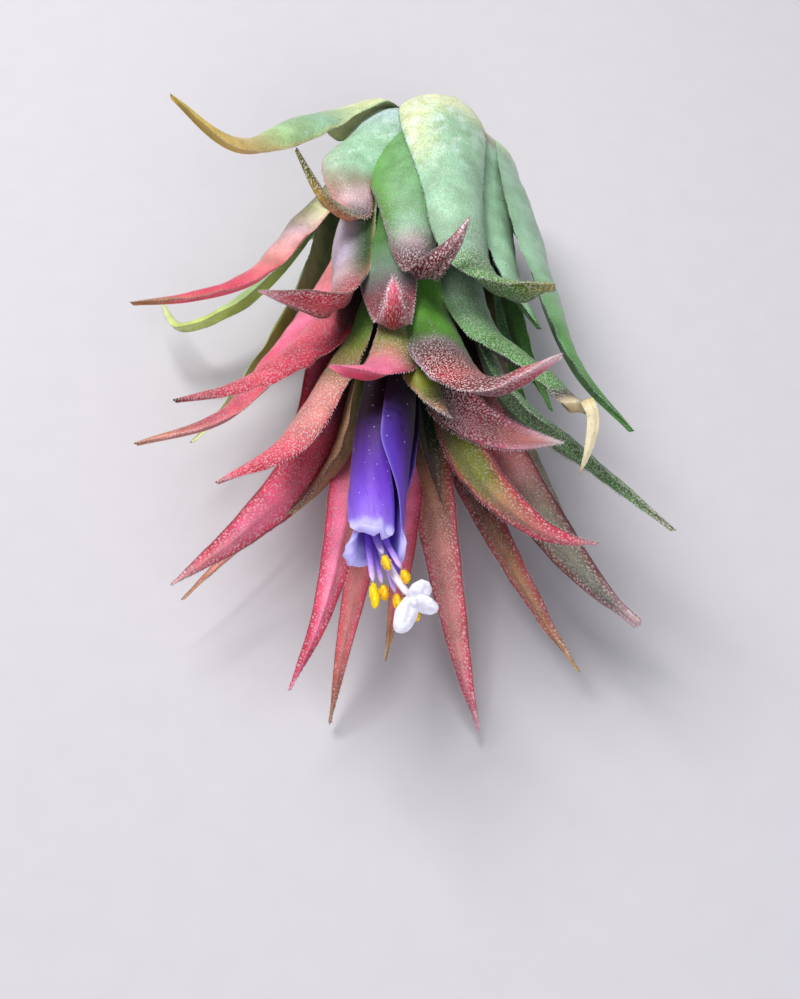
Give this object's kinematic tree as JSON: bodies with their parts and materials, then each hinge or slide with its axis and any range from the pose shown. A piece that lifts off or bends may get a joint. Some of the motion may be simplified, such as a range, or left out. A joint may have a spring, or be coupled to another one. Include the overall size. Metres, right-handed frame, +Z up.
{
  "type": "fuego ionantha air plant",
  "caption": "Small air plant in bloom, lying on its side: a bulb of green sheaths, arching scaly leaves that flush coral red, and a violet tube of a flower with stamens and a white stigma.",
  "frame": {"origin": "centre of the small flat spot under the bulb that the plant rests on", "axes": "+Z up; the plant lies along Y with its base at +Y and its flower and leaf tips towards -Y, turned a few degrees to -X; +X is the right side seen from the flower"},
  "size_m": [0.0487, 0.071, 0.0304],
  "materials": {
    "leaf_pale": "pale green leaf under a matte whitish bloom",
    "leaf_green": "mid green leaf with fine white scales",
    "leaf_olive": "olive leaf with brownish red edges",
    "leaf_coral": "coral red leaf, smooth inside and dusted with scales outside",
    "leaf_rose": "rose brown leaf under dense silvery scales",
    "stem": "dry brown fibrous stem",
    "petal": "violet petal, dark at the foot and pale lilac at the lip",
    "stamen": "violet filament with a powdery yellow anther",
    "pistil": "moist white stigma on a pale style"
  },
  "bodies": {
    "root": {"leaf_outer_1": "leaf_olive", "leaf_outer_2": "leaf_pale", "leaf_outer_3": "leaf_green", "leaf_outer_4": "leaf_green", "leaf_outer_5": "leaf_green", "leaf_outer_6": "leaf_pale", "leaf_second_1": "leaf_pale", "leaf_second_2": "leaf_pale", "leaf_second_3": "leaf_green", "leaf_second_4": "leaf_green", "leaf_second_5": "leaf_green", "leaf_second_6": "leaf_pale", "leaf_third_1": "leaf_rose", "leaf_third_2": "leaf_green", "leaf_third_3": "leaf_olive", "leaf_third_4": "leaf_green", "leaf_third_5": "leaf_coral", "leaf_third_6": "leaf_coral", "leaf_fourth_1": "leaf_rose", "leaf_fourth_2": "leaf_rose", "leaf_fourth_3": "leaf_green", "leaf_fourth_4": "leaf_rose", "leaf_fourth_5": "leaf_coral", "leaf_fourth_6": "leaf_coral", "leaf_fourth_7": "leaf_coral", "leaf_fifth_1": "leaf_rose", "leaf_fifth_2": "leaf_rose", "leaf_fifth_3": "leaf_olive", "leaf_fifth_4": "leaf_rose", "leaf_fifth_5": "leaf_coral", "leaf_fifth_6": "leaf_coral", "leaf_fifth_7": "leaf_coral", "leaf_inner_1": "leaf_rose", "leaf_inner_2": "leaf_olive", "leaf_inner_3": "leaf_rose", "leaf_inner_4": "leaf_olive", "leaf_heart_1": "leaf_rose", "leaf_heart_2": "leaf_olive", "leaf_heart_3": "leaf_olive", "stem": "stem", "petal_1": "petal", "petal_2": "petal", "petal_3": "petal", "stamen_1": "stamen", "stamen_2": "stamen", "stamen_3": "stamen", "stamen_4": "stamen", "stamen_5": "stamen", "stamen_6": "stamen", "pistil": "pistil"}
  },
  "joints": []
}
